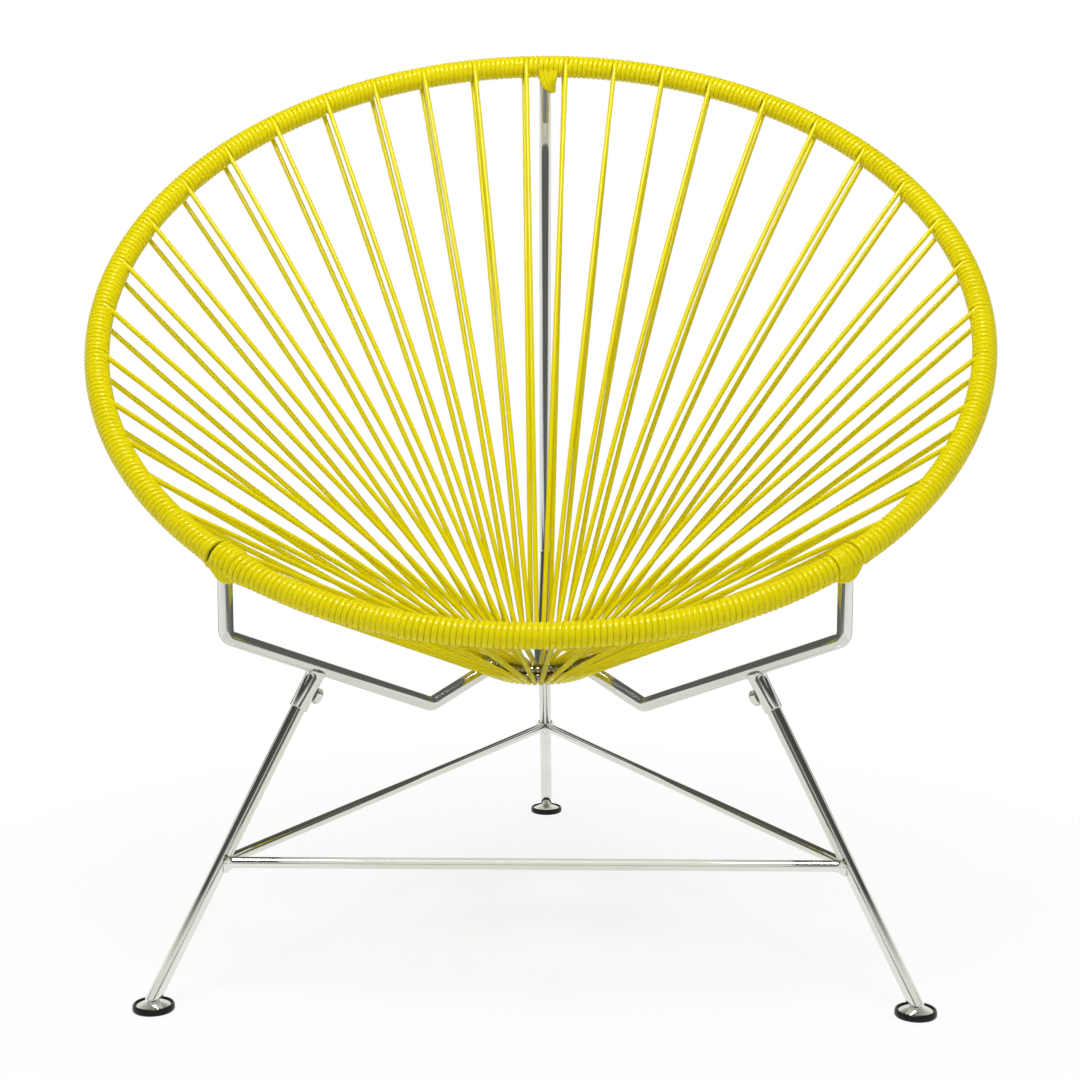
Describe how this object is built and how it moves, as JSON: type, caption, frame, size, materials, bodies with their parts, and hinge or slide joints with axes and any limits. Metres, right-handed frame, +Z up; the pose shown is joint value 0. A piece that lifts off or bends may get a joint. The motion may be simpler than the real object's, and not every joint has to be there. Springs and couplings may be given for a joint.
{
  "type": "lounge chair",
  "caption": "Round basket lounge chair: one oval hoop wound and strung with vinyl cord down to a small hub, on a low chromed rod base with three splayed legs.",
  "frame": {"origin": "on the floor, under the middle of the whole chair", "axes": "+X to the chair's right as seen from the front, +Y to the back, +Z up"},
  "size_m": [0.8364, 0.6732, 0.8402],
  "materials": {
    "cord": "glossy yellow vinyl",
    "chrome": "polished chrome",
    "satin_steel": "lightly polished steel",
    "steel": "bare steel",
    "rubber": "matt black"
  },
  "bodies": {
    "seat_and_base": {"hoop_tube": "steel", "hub_ring_upper": "chrome", "hub_ring_lower": "chrome", "back_strut": "satin_steel", "left_arm": "satin_steel", "right_arm": "satin_steel", "back_leg_socket": "chrome", "back_socket_nut": "chrome", "back_set_screw": "steel", "back_leg": "chrome", "left_leg_socket": "chrome", "left_socket_nut": "chrome", "left_set_screw": "steel", "left_leg": "chrome", "right_leg_socket": "chrome", "right_socket_nut": "chrome", "right_set_screw": "steel", "right_leg": "chrome", "front_stretcher": "chrome", "left_stretcher": "chrome", "right_stretcher": "chrome", "cord_back_right_1": "cord", "cord_back_right_2": "cord", "cord_back_right_3": "cord", "cord_back_right_4": "cord", "cord_front_1": "cord", "cord_front_2": "cord", "cord_front_3": "cord", "cord_front_4": "cord", "cord_back_left_1": "cord", "cord_back_left_2": "cord", "cord_back_left_3": "cord", "cord_back_left_4": "cord"},
    "back_stud": {"back_ball_stud": "steel"},
    "back_glide": {"back_glide_disc": "chrome", "back_glide_pad": "rubber"},
    "left_stud": {"left_ball_stud": "steel"},
    "left_glide": {"left_glide_disc": "chrome", "left_glide_pad": "rubber"},
    "right_stud": {"right_ball_stud": "steel"},
    "right_glide": {"right_glide_disc": "chrome", "right_glide_pad": "rubber"}
  },
  "joints": [
    {"name": "back_stud_spin", "type": "hinge", "parent": "seat_and_base", "child": "back_stud", "pos_m": [0, 0.3191, 0.0052], "axis": [0, 0, 1], "continuous": true},
    {"name": "back_glide_tilt", "type": "hinge", "parent": "back_stud", "child": "back_glide", "pos_m": [0, 0.3191, 0.0052], "axis": [1, 0, 0], "range_deg": [-7, 7]},
    {"name": "left_stud_spin", "type": "hinge", "parent": "seat_and_base", "child": "left_stud", "pos_m": [-0.3174, -0.3092, 0.0052], "axis": [0, 0, 1], "continuous": true},
    {"name": "left_glide_tilt", "type": "hinge", "parent": "left_stud", "child": "left_glide", "pos_m": [-0.3174, -0.3092, 0.0052], "axis": [1, 0, 0], "range_deg": [-7, 7]},
    {"name": "right_stud_spin", "type": "hinge", "parent": "seat_and_base", "child": "right_stud", "pos_m": [0.3174, -0.3092, 0.0052], "axis": [0, 0, 1], "continuous": true},
    {"name": "right_glide_tilt", "type": "hinge", "parent": "right_stud", "child": "right_glide", "pos_m": [0.3174, -0.3092, 0.0052], "axis": [1, 0, 0], "range_deg": [-7, 7]}
  ]
}
